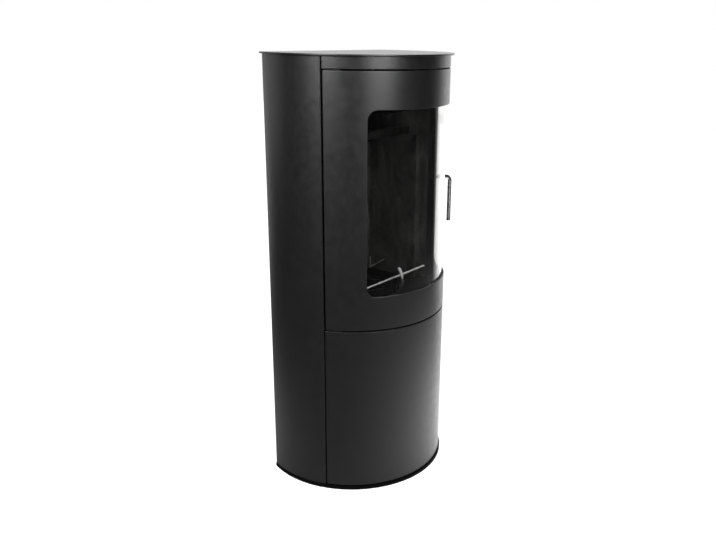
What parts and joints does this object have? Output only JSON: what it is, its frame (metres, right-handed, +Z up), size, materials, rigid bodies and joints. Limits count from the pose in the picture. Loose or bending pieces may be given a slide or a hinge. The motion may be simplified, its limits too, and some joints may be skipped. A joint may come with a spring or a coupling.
{
  "type": "wood stove",
  "caption": "Cylindrical steel wood stove with a flat back, a curved glass door with a bent bar handle, a lower door, a log guard and a rear flue collar.",
  "frame": {"origin": "on the floor, at the axis of the round body, in the underside of the base plate", "axes": "+Z up, -Y towards the doors, +Y towards the wall behind, +X towards the door handle's side"},
  "size_m": [0.496, 0.3644, 1.05],
  "materials": {
    "satin_black": "satin heat-proof paint",
    "matt_black": "matt heat-proof paint",
    "stainless": "polished",
    "zinc": "zinc plated",
    "castings": "as cast",
    "lining": "pressed mineral board, sooted",
    "window": "clear, slightly smoked",
    "rope": "woven fibre",
    "catch_plastic": "matte"
  },
  "bodies": {
    "carcass": {"base_plate": "satin_black", "side_panel_left": "satin_black", "side_panel_right": "satin_black", "back_panel": "satin_black", "rear_heat_shield": "zinc", "front_post_left": "matt_black", "front_post_right": "matt_black", "top_plate": "satin_black", "fascia_band": "satin_black", "firebox_shell": "matt_black", "front_frame": "matt_black", "flue_collar": "satin_black", "top_blank": "matt_black", "hearth_front": "lining", "hearth_rear": "lining", "hearth_sides": "lining", "board_left": "lining", "board_right": "lining", "board_back": "lining", "baffle": "lining", "smoke_deflector": "matt_black", "board_clips": "zinc", "grate": "castings", "ash_box": "matt_black", "air_box": "matt_black", "air_spigot": "zinc", "hinge_bracket_top": "matt_black", "hinge_bracket_middle": "matt_black", "latch_keeper": "matt_black", "magnet_catch": "catch_plastic", "back_screws": "zinc", "frame_bolts": "zinc", "foot_nuts": "zinc"},
    "firebox_door": {"door_sheet": "satin_black", "door_frame": "matt_black", "door_glass": "window", "glass_gasket": "rope", "glass_clips": "zinc", "clip_screws": "zinc", "door_seal": "rope", "handle_bush": "zinc"},
    "handle": {"door_handle": "stainless", "latch_cam": "castings"},
    "lower_door": {"lower_door_sheet": "satin_black", "lower_door_frame": "matt_black", "strike_plate": "zinc"},
    "flue_cover": {"flue_cover": "satin_black"},
    "log_guard": {"guard_stem": "matt_black", "log_guard": "stainless"},
    "riddle": {"riddle_plate": "castings", "riddle_rod": "stainless"},
    "air_control": {"air_valve": "zinc", "air_rod": "stainless"},
    "ash_pan": {"ash_pan": "zinc", "ash_pan_handle": "stainless"},
    "foot_front_left": {"foot_front_left": "zinc"},
    "foot_front_right": {"foot_front_right": "zinc"},
    "foot_rear_left": {"foot_rear_left": "zinc"},
    "foot_rear_right": {"foot_rear_right": "zinc"}
  },
  "joints": [
    {"name": "door_hinge", "type": "hinge", "parent": "carcass", "child": "firebox_door", "pos_m": [-0.19773, -0.10419, 0], "axis": [0, 0, -1], "range_deg": [0, 105]},
    {"name": "handle_turn", "type": "hinge", "parent": "firebox_door", "child": "handle", "pos_m": [0, 0, 0.731], "axis": [0.8926, -0.4509, 0], "range_deg": [0, 90]},
    {"name": "lower_door_hinge", "type": "hinge", "parent": "carcass", "child": "lower_door", "pos_m": [-0.19773, -0.10419, 0], "axis": [0, 0, -1], "range_deg": [0, 105]},
    {"name": "flue_cover_lift", "type": "slide", "parent": "carcass", "child": "flue_cover", "axis": [0, 0, 1], "range_m": [0, 0.05]},
    {"name": "log_guard_lift", "type": "slide", "parent": "carcass", "child": "log_guard", "axis": [0, 0, 1], "range_m": [0, 0.04]},
    {"name": "riddle_pull", "type": "slide", "parent": "carcass", "child": "riddle", "axis": [0, -1, 0], "range_m": [0, 0.012]},
    {"name": "air_pull", "type": "slide", "parent": "carcass", "child": "air_control", "axis": [0, -1, 0], "range_m": [0, 0.012]},
    {"name": "ash_pan_pull", "type": "slide", "parent": "carcass", "child": "ash_pan", "axis": [0, -1, 0], "range_m": [0, 0.03]},
    {"name": "foot_front_left_screw", "type": "slide", "parent": "carcass", "child": "foot_front_left", "axis": [0, 0, -1], "range_m": [0, 0.012]},
    {"name": "foot_front_right_screw", "type": "slide", "parent": "carcass", "child": "foot_front_right", "axis": [0, 0, -1], "range_m": [0, 0.012]},
    {"name": "foot_rear_left_screw", "type": "slide", "parent": "carcass", "child": "foot_rear_left", "axis": [0, 0, -1], "range_m": [0, 0.012]},
    {"name": "foot_rear_right_screw", "type": "slide", "parent": "carcass", "child": "foot_rear_right", "axis": [0, 0, -1], "range_m": [0, 0.012]}
  ]
}
